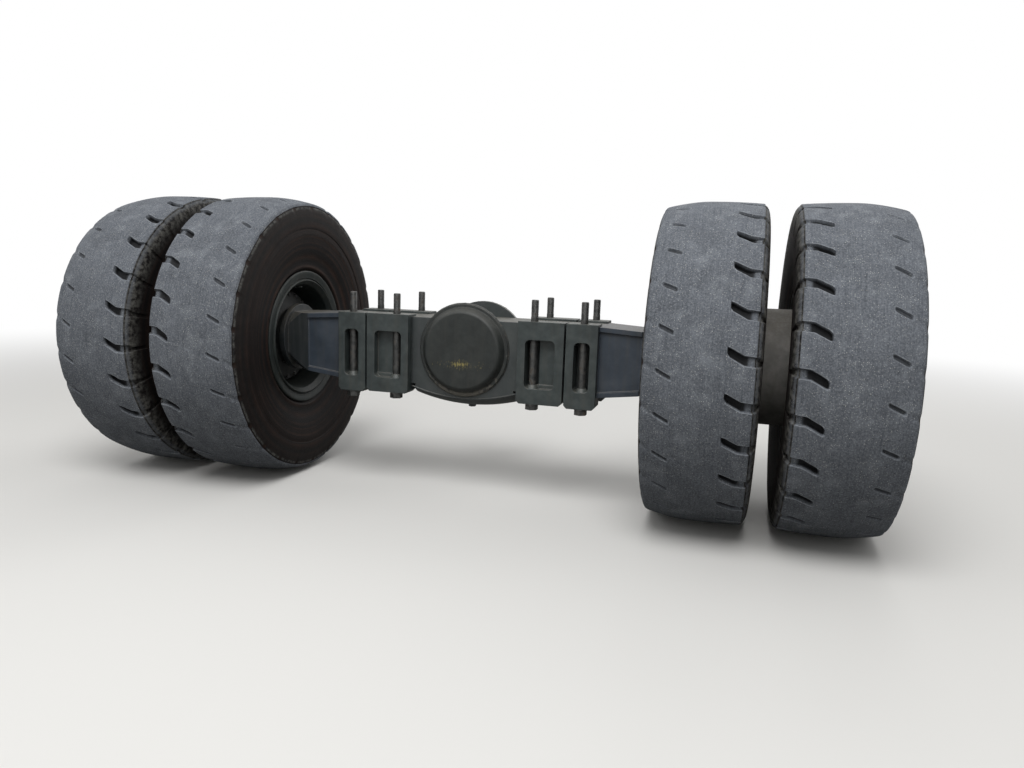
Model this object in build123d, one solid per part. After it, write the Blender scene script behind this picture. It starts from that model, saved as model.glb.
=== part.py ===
from build123d import *
import os
from math import atan, cos, degrees, radians, sin

# Heavy front drive axle of a container handling machine, with twin wheels at each end.
# Millimetres and degrees. X runs across the machine, -Y points to its front and +Z up.
# The shapes are built about the wheel axis, and are lowered at the end so that the
# origin lies in the plane where the machine's frame rests on the axle.

# Frame seat and axle beam
seat_height = 175.0
web_half_depth = 150.0
plate_half_depth = 163.0
plate_thickness = 24.0
core_half_depth = 93.0
beam_root_top = 163.0
beam_root_bottom = -200.0
beam_end_x = 935.0
beam_end_top = 150.0
beam_end_bottom = -174.0

# Round ends of the beam, where the box runs into the wheel spindles
end_flange_x = 1070.0
end_flange_thickness = 30.0
end_flange_radius = 190.0
end_cone_large_radius = 235.0
end_cone_small_radius = 168.0
spindle_radius = 105.0

# Differential bowl in the middle of the beam
bowl_half_width = 296.0
bowl_half_depth = 156.0
bowl_edge_z = -262.0
bowl_belly_drop = 53.0
bowl_arc_radius = 933.0

# Cover on the front of the bowl: radius and distance in front of the bowl at each step
cover_ring_radius = 246.0
cover_ring_thickness = 14.0
cover_dome_height = 54.0
cover_dome_radius = 228.0
cover_face_radius = 202.0
cover_edge_height = 44.0
cover_edge_radius = 213.0

# Differential carrier and drive flange at the rear
carrier_flange_radius = 248.0
carrier_flange_thickness = 26.0
carrier_cone_large_radius = 206.0
carrier_cone_small_radius = 112.0
carrier_cone_length = 190.0
carrier_neck_length = 95.0
carrier_rib_count = 6
carrier_rib_thickness = 18.0
pinion_shaft_radius = 42.0
pinion_shaft_length = 24.0
drive_flange_radius = 112.5
drive_flange_thickness = 20.0
drive_flange_spigot_radius = 70.0
drive_flange_spigot_height = 5.0
drive_flange_bolt_circle = 196.0
drive_flange_hole_count = 8
drive_flange_hole_radius = 8.05

# Clamp columns, which carry the frame seat and hold the long clamp bolts
column_front = 203.0
window_top = 80.0
window_bottom = -173.0
window_corner_radius = 24.0
column_chamfer = 16.0
wide_column_inner_x = 305.0
wide_column_outer_x = 549.0
wide_column_bottom = -254.0
wide_window_inner_x = 347.0
wide_window_outer_x = 503.0
narrow_column_inner_x = 559.0
narrow_column_outer_x = 722.0
narrow_column_bottom = -261.0
narrow_window_inner_x = 602.0
narrow_window_outer_x = 683.0
rib_x = 480.0
rib_half_width = 12.0
rib_depth = 60.0

# Clamp bolts, which stand out above the seat to take the frame
bolt_radius = 19.5
bolt_hole_clearance = 1.5
bolt_y = 170.0
inner_bolt_x = 385.0
outer_bolt_x = 645.0
bolt_stand_out = 110.0
bolt_tip_chamfer = 3.0
bolt_head_flats = 60.0
bolt_head_height = 25.0
washer_radius = 34.0
washer_thickness = 6.0

# Wheels: tyre 18.00-25 worn down, on rims 13.00-25
inner_wheel_x = 1249.0
outer_wheel_x = 1850.0
spindle_end_x = outer_wheel_x - 230.0
crown_radius = 796.0
tread_half_width = 238.0
section_half_width = 250.0
section_radius = 600.0
bead_seat_radius = 317.5
bead_half_width = 178.0
rim_flange_radius = 383.0
rim_half_width = 212.0
rim_mouth_radius = 326.0
rim_mouth_depth = 26.0
rim_inner_radius = 304.0
rim_pad_start = -6.0
rim_pad_slope = 42.0
seat_gap = 0.3

# Worn tread: deep notches on the shoulder beside the twin, shallow ones on the other
notch_count = 26
flats_per_notch = 2
deep_notch_depth = 44.0
deep_notch_half_width = 20.0
deep_notch_length = 125.0
deep_notch_lean = 46.0
shallow_notch_depth = 8.0
shallow_notch_half_width = 10.0
shallow_notch_start = 115.0
shallow_notch_length = 68.0
shallow_notch_lean = 33.0
shallow_notch_offset = 4.1

# Hub, planetary end cover, brake housing and wheel clamps
hub_radius = 274.0
hub_end_x = 2040.0
spacer_radius = 287.0
brake_radius = 262.0
brake_length = 140.0
brake_neck_radius = 172.0
brake_neck_length = 46.0
brake_shoulder_length = 26.0
running_gap = 5.0
bearing_gap = 0.3
hub_bore_extra = 20.0
planet_flange_radius = 232.0
planet_flange_thickness = 8.0
planet_cover_radius = 168.0
planet_cover_height = 26.0
clamp_count = 12
clamp_thickness = 20.0
clamp_width = 62.0
clamp_foot_radius = 242.0
clamp_nut_flats = 36.0
clamp_nut_height = 14.0
clamp_nut_circle_radius = 266.0

over_size = 400.0

os.makedirs("parts", exist_ok=True)


def save(name, shape):
    """Lowers a finished piece to the seat frame and writes it."""
    placed = Pos(0, 0, -seat_height) * shape
    placed.label = name
    export_step(placed, f"parts/{name}.step")


def block(x_range, y_range, z_range):
    """A box between two corners, each range given as low and high."""
    size = [high - low for low, high in (x_range, y_range, z_range)]
    middle = [(high + low) / 2 for low, high in (x_range, y_range, z_range)]
    return Pos(*middle) * Box(*size)


def turned(profile_points):
    """A solid of revolution about X from a closed outline of (x, radius) points."""
    outline = make_face(Polyline(*[(x, radius) for x, radius in profile_points], close=True))
    return revolve(outline, Axis.X)


def facet_ring(profile_points, sides):
    """A ring about X from a closed outline of (x, radius) points, with flat sides all round."""
    step = 360 / sides
    faces = []
    for i in range(sides):
        for (x_1, radius_1), (x_2, radius_2) in zip(profile_points, profile_points[1:] + profile_points[:1]):
            corners = [
                (x, -radius * cos(radians(angle)), radius * sin(radians(angle)))
                for x, radius, angle in (
                    (x_1, radius_1, step * i),
                    (x_2, radius_2, step * i),
                    (x_2, radius_2, step * (i + 1)),
                    (x_1, radius_1, step * (i + 1)),
                )
            ]
            faces.append(Face(Wire.make_polygon(corners)))
    return Solid(Shell(faces))


def turned_about_y(profile_points):
    """A solid of revolution about Y from a closed outline of (y, radius) points."""
    outline = make_face(Polyline(*[(radius, y) for y, radius in profile_points], close=True))
    return revolve(outline, Axis.Y)


def outline_xz(points, half_depth):
    """A slab with a side outline of (x, z) points, as deep in front of the wheel axis as behind."""
    face = Plane.XZ * make_face(Polyline(*points, close=True))
    return extrude(face, half_depth, both=True)


def other_side(shape):
    """The same piece at the other end of the axle."""
    return Rot(0, 0, 180) * shape


# Axle housing
def beam_half():
    """The tapered box beam of one end: webs, and top and bottom plates that stand proud of them."""
    outer_web = outline_xz(
        [
            (0, beam_root_top),
            (narrow_column_outer_x, beam_root_top),
            (beam_end_x, beam_end_top),
            (beam_end_x, beam_end_bottom),
            (narrow_column_outer_x, beam_root_bottom),
            (0, beam_root_bottom),
        ],
        web_half_depth,
    )
    top_plate = outline_xz(
        [
            (narrow_column_outer_x, beam_root_top),
            (beam_end_x, beam_end_top),
            (beam_end_x, beam_end_top - plate_thickness),
            (narrow_column_outer_x, beam_root_top - plate_thickness),
        ],
        plate_half_depth,
    )
    bottom_plate = outline_xz(
        [
            (narrow_column_outer_x, beam_root_bottom),
            (beam_end_x, beam_end_bottom),
            (beam_end_x, beam_end_bottom + plate_thickness),
            (narrow_column_outer_x, beam_root_bottom + plate_thickness),
        ],
        plate_half_depth,
    )
    return outer_web + top_plate + bottom_plate


def column_rebate(side):
    """The space in the beam's front or rear face that a pair of columns fills."""
    return block(
        (wide_column_inner_x, narrow_column_outer_x),
        sorted((side * core_half_depth, side * over_size)),
        (-over_size, over_size),
    )


def beam_end():
    """The box running into a round end, its flange and the spindle that carries the wheels."""
    box_end = block(
        (beam_end_x, end_flange_x),
        (-web_half_depth, web_half_depth),
        (beam_end_bottom, beam_end_top),
    )
    cone = turned(
        [
            (beam_end_x, 0),
            (beam_end_x, end_cone_large_radius),
            (end_flange_x, end_cone_small_radius),
            (end_flange_x, 0),
        ]
    )
    flange_end_x = end_flange_x + end_flange_thickness
    flange_and_spindle = turned(
        [
            (end_flange_x, 0),
            (end_flange_x, end_flange_radius),
            (flange_end_x, end_flange_radius),
            (flange_end_x, spindle_radius),
            (spindle_end_x, spindle_radius),
            (spindle_end_x, 0),
        ]
    )
    return (box_end & cone) + flange_and_spindle


def differential_bowl():
    """The bowl that hangs below the beam: a section with a round belly, swung on a large arc."""
    arc_centre_z = bowl_edge_z + bowl_arc_radius
    swing = degrees(atan(bowl_half_width / bowl_arc_radius))
    section = Plane.YZ * make_face(
        [
            Line((-bowl_half_depth, 0), (bowl_half_depth, 0)),
            Line((bowl_half_depth, 0), (bowl_half_depth, bowl_edge_z)),
            ThreePointArc(
                (bowl_half_depth, bowl_edge_z),
                (0, bowl_edge_z - bowl_belly_drop),
                (-bowl_half_depth, bowl_edge_z),
            ),
            Line((-bowl_half_depth, bowl_edge_z), (-bowl_half_depth, 0)),
        ]
    )
    axis = Axis((0, 0, arc_centre_z), (0, 1, 0))
    first = section.rotate(axis, -swing)
    bowl = revolve(first, axis, 2 * swing)
    shoulders = block(
        (-bowl_half_width, bowl_half_width),
        (-bowl_half_depth, bowl_half_depth),
        (beam_root_bottom, beam_root_top),
    )
    return bowl + shoulders


def axle_housing():
    right_half = beam_half() - [column_rebate(-1), column_rebate(1)] + beam_end()
    return right_half + other_side(right_half) + differential_bowl()


# Differential cover, carrier and drive flange
def differential_cover():
    face_y = -bowl_half_depth
    return turned_about_y(
        [
            (face_y, 0),
            (face_y, cover_ring_radius),
            (face_y - cover_ring_thickness, cover_ring_radius),
            (face_y - cover_ring_thickness, cover_dome_radius),
            (face_y - cover_edge_height, cover_edge_radius),
            (face_y - cover_dome_height, cover_face_radius),
            (face_y - cover_dome_height, 0),
        ]
    )


def differential_carrier():
    base_y = bowl_half_depth
    flange_y = base_y + carrier_flange_thickness
    cone_end_y = flange_y + carrier_cone_length
    neck_end_y = cone_end_y + carrier_neck_length
    body = turned_about_y(
        [
            (base_y, 0),
            (base_y, carrier_flange_radius),
            (flange_y, carrier_flange_radius),
            (flange_y, carrier_cone_large_radius),
            (cone_end_y, carrier_cone_small_radius),
            (neck_end_y, carrier_cone_small_radius),
            (neck_end_y, 0),
        ]
    )
    rib = Plane.XY * make_face(
        Polyline(
            (0, flange_y),
            (carrier_flange_radius - carrier_flange_thickness, flange_y),
            (carrier_cone_small_radius + carrier_rib_thickness, cone_end_y),
            (carrier_cone_small_radius + carrier_rib_thickness, neck_end_y - carrier_rib_thickness),
            (0, neck_end_y - carrier_rib_thickness),
            close=True,
        )
    )
    one_rib = extrude(rib, carrier_rib_thickness / 2, both=True)
    ribs = [Rot(0, 360 * i / carrier_rib_count, 0) * one_rib for i in range(carrier_rib_count)]
    return body + ribs


def drive_flange():
    neck_end_y = bowl_half_depth + carrier_flange_thickness + carrier_cone_length + carrier_neck_length
    plate_y = neck_end_y + pinion_shaft_length
    outer_y = plate_y + drive_flange_thickness
    spigot_y = outer_y + drive_flange_spigot_height
    flange = turned_about_y(
        [
            (neck_end_y, 0),
            (neck_end_y, pinion_shaft_radius),
            (plate_y, pinion_shaft_radius),
            (plate_y, drive_flange_radius),
            (outer_y, drive_flange_radius),
            (outer_y, drive_flange_spigot_radius),
            (spigot_y, drive_flange_spigot_radius),
            (spigot_y, 0),
        ]
    )
    hole = Pos(drive_flange_bolt_circle / 2, plate_y + drive_flange_thickness / 2, 0) * (
        Rot(90, 0, 0) * Cylinder(drive_flange_hole_radius, 2 * drive_flange_thickness)
    )
    step = 360 / drive_flange_hole_count
    return flange - [Rot(0, step * (i + 0.5), 0) * hole for i in range(drive_flange_hole_count)]


# Clamp columns and their bolts
def column(inner_x, outer_x, bottom, window_inner_x, window_outer_x, bolt_x):
    """A front right column: a block with a window, drilled from top to bottom for its bolt."""
    face = Plane.XZ.offset(core_half_depth) * make_face(
        Polyline(
            (inner_x, seat_height),
            (outer_x, seat_height),
            (outer_x, bottom + column_chamfer),
            (outer_x - column_chamfer, bottom),
            (inner_x + column_chamfer, bottom),
            (inner_x, bottom + column_chamfer),
            close=True,
        )
    )
    body = extrude(face, column_front - core_half_depth)
    window = Pos(
        (window_inner_x + window_outer_x) / 2, -core_half_depth, (window_top + window_bottom) / 2
    ) * (
        Plane.XZ
        * RectangleRounded(
            window_outer_x - window_inner_x, window_top - window_bottom, window_corner_radius
        )
    )
    drilling = Pos(bolt_x, -bolt_y, 0) * Cylinder(bolt_radius + bolt_hole_clearance, 2 * over_size)
    return body - extrude(window, over_size, both=True) - drilling


def wide_column():
    """The wide column also has an upright rib inside its window."""
    rib = block(
        (rib_x - rib_half_width, rib_x + rib_half_width),
        (-core_half_depth - rib_depth, -core_half_depth),
        (window_bottom, window_top),
    )
    return rib + column(
        wide_column_inner_x,
        wide_column_outer_x,
        wide_column_bottom,
        wide_window_inner_x,
        wide_window_outer_x,
        inner_bolt_x,
    )


def narrow_column():
    return column(
        narrow_column_inner_x,
        narrow_column_outer_x,
        narrow_column_bottom,
        narrow_window_inner_x,
        narrow_window_outer_x,
        outer_bolt_x,
    )


def clamp_bolt(bottom):
    """A long bolt from below, with its head and washer under the column."""
    shank_length = seat_height + bolt_stand_out - bottom
    shank = Pos(0, 0, bottom + shank_length / 2) * Cylinder(bolt_radius, shank_length)
    shank = chamfer(shank.edges().sort_by(Axis.Z)[-1], bolt_tip_chamfer)
    washer = Pos(0, 0, bottom - washer_thickness / 2) * Cylinder(washer_radius, washer_thickness)
    head_face = Pos(0, 0, bottom - washer_thickness) * RegularPolygon(
        bolt_head_flats / 2, 6, major_radius=False
    )
    return shank + washer + extrude(head_face, -bolt_head_height)


# Wheels
def tyre():
    """A tyre about X at its own middle, worn in flats, with the deep notches on its -X shoulder."""
    sides = flats_per_notch * notch_count
    bore_radius = (bead_seat_radius + seat_gap) / cos(radians(180 / sides))
    body = facet_ring(
        [
            (-tread_half_width, crown_radius),
            (tread_half_width, crown_radius),
            (section_half_width, section_radius),
            (bead_half_width - seat_gap, bore_radius),
            (seat_gap - bead_half_width, bore_radius),
            (-section_half_width, section_radius),
        ],
        sides,
    )
    pitch = 360 / notch_count
    cuts = []
    for i in range(notch_count):
        cuts.append(Rot(pitch * i, 0, 0) * deep_notch())
        cuts.append(Rot(pitch * i + shallow_notch_offset, 0, 0) * shallow_notch())
    return body - cuts


def v_cut(start, end, half_width, depth, run_on):
    """A V groove that opens away from the axis, its bottom line running from start to end."""
    line = Vector(*end) - Vector(*start)
    along = line.normalized()
    across = Vector(0, 0, 1) - along * along.Z
    plane = Plane(origin=Vector(*start) - along * run_on, x_dir=across, z_dir=along)
    lift = 3
    wedge = Polygon((0, 0), (lift * half_width, lift * depth), (-lift * half_width, lift * depth), align=None)
    return extrude(plane * wedge, line.length + 2 * run_on)


def deep_notch():
    """A groove that is deep at the shoulder and runs out to nothing on the tread."""
    mouth = (-tread_half_width, deep_notch_depth - crown_radius, deep_notch_lean)
    tip = (deep_notch_length - tread_half_width, -crown_radius, 0)
    return v_cut(mouth, tip, deep_notch_half_width, deep_notch_depth, deep_notch_depth)


def shallow_notch():
    """What wear has left of a groove on the other shoulder."""
    floor_y = shallow_notch_depth - crown_radius
    inner = (shallow_notch_start, floor_y, 0)
    outer = (shallow_notch_start + shallow_notch_length, floor_y, -shallow_notch_lean)
    return v_cut(inner, outer, shallow_notch_half_width, shallow_notch_depth, 0)


def rim():
    """A rim about X at its own middle. Its -X half is thick, to sit on the hub, and its mouth is at +X."""
    flange_foot_x = bead_half_width
    wall_lean = (section_half_width - bead_half_width) / (section_radius - bead_seat_radius)
    flange_top_x = bead_half_width + wall_lean * (rim_flange_radius - bead_seat_radius)
    bore_radius = hub_radius + seat_gap
    return turned(
        [
            (-rim_half_width, bore_radius),
            (-rim_half_width, rim_flange_radius),
            (-flange_top_x, rim_flange_radius),
            (-flange_foot_x, bead_seat_radius),
            (flange_foot_x, bead_seat_radius),
            (flange_top_x, rim_flange_radius),
            (rim_half_width, rim_flange_radius),
            (rim_half_width, rim_mouth_radius),
            (rim_half_width - rim_mouth_depth, rim_inner_radius),
            (rim_pad_start + rim_pad_slope, rim_inner_radius),
            (rim_pad_start, bore_radius),
        ]
    )


def hub():
    """The hub drum, bored from its inner end for the spindle."""
    start_x = end_flange_x + end_flange_thickness + brake_length + running_gap
    bore_end_x = spindle_end_x + hub_bore_extra
    return turned(
        [
            (start_x, spindle_radius + bearing_gap),
            (start_x, hub_radius),
            (hub_end_x, hub_radius),
            (hub_end_x, 0),
            (bore_end_x, 0),
            (bore_end_x, spindle_radius + bearing_gap),
        ]
    )


def spacer_band():
    """The band on the hub that keeps the two rims apart."""
    start_x = inner_wheel_x + rim_half_width + seat_gap
    end_x = outer_wheel_x - rim_half_width - seat_gap
    return turned(
        [
            (start_x, hub_radius + seat_gap),
            (start_x, spacer_radius),
            (end_x, spacer_radius),
            (end_x, hub_radius + seat_gap),
        ]
    )


def planet_cover():
    cover_x = hub_end_x + planet_flange_thickness
    return turned(
        [
            (hub_end_x, 0),
            (hub_end_x, planet_flange_radius),
            (cover_x, planet_flange_radius),
            (cover_x + planet_cover_height, planet_cover_radius),
            (cover_x + planet_cover_height, 0),
        ]
    )


def wheel_clamps():
    """Cleats bolted to the hub's end that wedge into the outer rim's mouth."""
    mouth_x = outer_wheel_x + rim_half_width
    slope = (rim_mouth_radius - rim_inner_radius) / rim_mouth_depth
    clamp_end_x = hub_end_x + clamp_thickness

    def mouth_radius(x):
        return rim_mouth_radius - slope * (mouth_x - x) - seat_gap

    ring = turned(
        [
            (hub_end_x, clamp_foot_radius),
            (hub_end_x, mouth_radius(hub_end_x)),
            (clamp_end_x, mouth_radius(clamp_end_x)),
            (clamp_end_x, clamp_foot_radius),
        ]
    )
    cleat = ring & block(
        (hub_end_x, clamp_end_x), (-clamp_width / 2, clamp_width / 2), (0, rim_flange_radius)
    )
    nut_face = Plane.YZ.offset(clamp_end_x) * Pos(0, clamp_nut_circle_radius) * RegularPolygon(
        clamp_nut_flats / 2, 6, major_radius=False
    )
    clamp = cleat + extrude(nut_face, clamp_nut_height)
    return Compound([Rot(360 * (i + 0.5) / clamp_count, 0, 0) * clamp for i in range(clamp_count)])


def brake_housing():
    """The fixed housing of the wet brake: a neck on the beam's flange, then the full drum."""
    start_x = end_flange_x + end_flange_thickness
    neck_x = start_x + brake_neck_length
    return turned(
        [
            (start_x, spindle_radius + bearing_gap),
            (start_x, brake_neck_radius),
            (neck_x, brake_neck_radius),
            (neck_x + brake_shoulder_length, brake_radius),
            (start_x + brake_length, brake_radius),
            (start_x + brake_length, spindle_radius + bearing_gap),
        ]
    )


save("axle_housing", axle_housing())
save("differential_cover", differential_cover())
save("differential_carrier", differential_carrier())
save("drive_flange", drive_flange())
save("brake_housings", Compound([brake_housing(), other_side(brake_housing())]))

# Columns stand in fours: front or rear, at the right or left
column_shapes = {"wide": wide_column(), "narrow": narrow_column()}
column_corners = [
    # place, then whether it is mirrored front to back and side to side
    ("front_right", False, False),
    ("rear_right", True, False),
    ("front_left", False, True),
    ("rear_left", True, True),
]
for place, to_rear, to_left in column_corners:
    for width, shape in column_shapes.items():
        placed = mirror(shape, Plane.XZ) if to_rear else shape
        placed = mirror(placed, Plane.YZ) if to_left else placed
        save(f"{width}_column_{place}", placed)

for side_name, side in (("right", 1), ("left", -1)):
    bolts = [
        Pos(side * x, y, 0) * clamp_bolt(bottom)
        for x, bottom in ((inner_bolt_x, wide_column_bottom), (outer_bolt_x, narrow_column_bottom))
        for y in (-bolt_y, bolt_y)
    ]
    save(f"clamp_bolts_{side_name}", Compound(bolts))

# Tyres are turned so that their notches lie as they were found
plain_tyre = tyre()
tyre_places = [
    # name, place across, whether the deep notches face +X, and turn about the wheel axis
    ("right_inner_tyre", inner_wheel_x, True, 10.8),
    ("right_outer_tyre", outer_wheel_x, False, 2.2),
    ("left_inner_tyre", -inner_wheel_x, False, 2.2),
    ("left_outer_tyre", -outer_wheel_x, True, 0.5),
]
for name, x, faces_right, turn in tyre_places:
    facing = other_side(plain_tyre) if faces_right else plain_tyre
    save(name, Pos(x, 0, 0) * Rot(-turn, 0, 0) * facing)

# The steel of each pair of wheels
outer_rim = Pos(outer_wheel_x, 0, 0) * rim()
inner_rim = Pos(inner_wheel_x, 0, 0) * other_side(rim())
wheel_pieces = [
    ("inner_rim", inner_rim),
    ("outer_rim", outer_rim),
    ("spacer_band", spacer_band()),
    ("hub", hub()),
    ("planet_cover", planet_cover()),
    ("wheel_clamps", wheel_clamps()),
]
for name, shape in wheel_pieces:
    save(f"right_{name}", shape)
    save(f"left_{name}", other_side(shape))
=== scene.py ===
from math import cos, exp, pi, radians, sin, sqrt

import bmesh
import bpy
from mathutils import Matrix, Vector, noise


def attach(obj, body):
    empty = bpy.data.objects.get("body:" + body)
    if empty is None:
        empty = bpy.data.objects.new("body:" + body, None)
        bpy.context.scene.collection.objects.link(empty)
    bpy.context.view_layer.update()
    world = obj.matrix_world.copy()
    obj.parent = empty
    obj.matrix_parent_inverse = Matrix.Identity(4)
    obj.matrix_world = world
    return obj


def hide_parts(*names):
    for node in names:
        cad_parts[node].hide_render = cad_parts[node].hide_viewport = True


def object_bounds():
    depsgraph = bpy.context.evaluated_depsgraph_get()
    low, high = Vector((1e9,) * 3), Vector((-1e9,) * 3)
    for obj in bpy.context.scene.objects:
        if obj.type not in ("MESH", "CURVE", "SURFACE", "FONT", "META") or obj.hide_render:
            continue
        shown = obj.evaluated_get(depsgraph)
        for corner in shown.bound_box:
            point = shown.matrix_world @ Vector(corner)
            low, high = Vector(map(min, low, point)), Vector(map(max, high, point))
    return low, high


bl_info = {
    "name": "Twin Wheel Drive Axle",
    "version": (1, 0, 0),
    "blender": (4, 5, 0),
    "location": "3D View > Sidebar > Drive Axle",
    "description": "Dresses the heavy drive axle with worn twin tyres, painted castings and bolts",
    "category": "Add Mesh",
}

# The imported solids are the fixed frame, in metres. Right is +X, the machine's front is -Y.
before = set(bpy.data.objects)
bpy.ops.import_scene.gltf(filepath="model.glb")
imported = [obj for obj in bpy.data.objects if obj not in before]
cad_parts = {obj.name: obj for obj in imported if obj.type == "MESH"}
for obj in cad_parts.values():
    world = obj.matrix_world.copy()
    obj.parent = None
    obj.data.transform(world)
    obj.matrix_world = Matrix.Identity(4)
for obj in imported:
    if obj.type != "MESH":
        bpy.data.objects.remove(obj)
cad_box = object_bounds()

MM = 0.001
# The wheels' axis, below the frame seat
AXLE_Z = -0.175
NOTCHES = 26
PITCH = 2 * pi / NOTCHES


def srgb(code):
    """A colour written as sRGB hex, turned to the linear values that shaders read."""
    parts = [int(code[i:i + 2], 16) / 255 for i in (1, 3, 5)]
    return tuple(p / 12.92 if p <= 0.04045 else ((p + 0.055) / 1.055) ** 2.4 for p in parts)


def colour_setting(name, description, code):
    return bpy.props.FloatVectorProperty(
        name=name, description=description, default=srgb(code), subtype="COLOR", min=0, max=1
    )


def length_setting(name, description, millimetres):
    return bpy.props.FloatProperty(
        name=name, description=description, default=millimetres * MM, min=0, unit="LENGTH"
    )


class TyreSettings(bpy.types.PropertyGroup):
    """Sizes and colours of the worn tyres."""

    notch_depth: length_setting("Notch depth", "Depth of the deep notches at their inner end", 32)
    notch_half_width: length_setting("Notch half width", "Half the width of a deep notch", 18)
    slot_depth: length_setting("Slot depth", "Depth of the short slots on the other shoulder", 10)
    wear: length_setting("Uneven wear", "How far the tread is worn unevenly", 1.6)
    tread_colour: colour_setting("Tread", "Dusty rubber of the tread", "#686c72")
    groove_colour: colour_setting("Grooves", "Unworn rubber in the notches", "#2a2b2d")
    wall_colour: colour_setting("Wall", "Rubber of the side walls", "#151212")
    dust_colour: colour_setting("Dust", "Warm grey dust on the rubber", "#605f5b")


class PaintSettings(bpy.types.PropertyGroup):
    """Colours of the painted and bare metal."""

    beam_colour: colour_setting("Beam", "Dark blue grey paint of the beam's arms", "#3a424c")
    bowl_colour: colour_setting("Bowl", "Dark grey paint of the bowl in the middle", "#3f4444")
    column_colour: colour_setting("Columns", "Green grey paint of the clamp columns", "#3c4343")
    cover_colour: colour_setting("Cover", "Older, darker paint of the round cover", "#272b2a")
    # Rims: dark grey green paint, made darker still as a painted shade
    rim_colour: colour_setting("Rims", "Dark grey green paint of the rims", "#1b2322")
    drum_colour: colour_setting("Hubs", "Paint of hubs and brake housings", "#222526")
    # Spacer: dusty paint, lifted paler as painted light for the light that falls into the gap
    # between the twins
    spacer_colour: colour_setting("Spacer", "Dusty paint of the spacer band", "#7d7b77")
    dust_colour: colour_setting("Dust", "Dust that settles on the metal", "#6d675c")


class StageSettings(bpy.types.PropertyGroup):
    """Floor, lamps and camera."""

    floor_colour: colour_setting("Floor", "Colour of the plain floor", "#e2e1de")
    bounce_colour: colour_setting("Bounce", "Colour of light that the floor throws back", "#858481")
    lens: bpy.props.FloatProperty(
        name="Lens", description="Focal length on a 36 mm sensor", default=27.03, unit="CAMERA"
    )


# Material building

def add(tree, kind, inputs=None, output=None, **settings):
    """Adds one shader node. inputs are values or sockets to link, and settings are properties of
    the node. Returns the named output, or else the first that is in use."""
    node = tree.nodes.new("ShaderNode" + kind)
    for name, value in settings.items():
        setattr(node, name, value)
    for key, value in (inputs or {}).items():
        socket = node.inputs[key]
        if isinstance(value, bpy.types.NodeSocket):
            tree.links.new(value, socket)
        elif socket.type == "RGBA" and len(value) == 3:
            socket.default_value = (*value, 1)
        else:
            socket.default_value = value
    if output:
        return node.outputs[output]
    return next((socket for socket in node.outputs if socket.enabled), None)


def levels(*values):
    """Where in a pattern something starts, where it is full, and how much of it there is then."""
    return dict(zip(("From Min", "From Max", "To Max"), values))


def coats(tree, colour, layers):
    """Lays coats over a colour, each with its share, or with a pattern and the share's levels."""
    for coat, share, *values in layers:
        if values:
            share = add(tree, "MapRange", {"Value": share, **levels(*values)})
        colour = add(tree, "Mix", {"Factor": share, "A": colour, "B": coat}, data_type="RGBA")
    return colour


def start_material(name):
    """An empty node material. Returns it, its tree, and Object coordinates."""
    material = bpy.data.materials.new(name)
    material.use_nodes = True
    tree = material.node_tree
    tree.nodes.clear()
    return material, tree, add(tree, "TexCoord", output="Object")


def end_material(material, inputs):
    """Closes a material with its one surface shader."""
    surface = add(material.node_tree, "BsdfPrincipled", inputs)
    add(material.node_tree, "OutputMaterial", {"Surface": surface})
    return material


def per(millimetres):
    """The scale of a pattern whose features are this many millimetres apart."""
    return 1 / (millimetres * MM)


def shade(colour, factor, lift=0.0):
    """A colour made darker or lighter."""
    return tuple(min(1.0, c * factor + lift) for c in colour)


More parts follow.
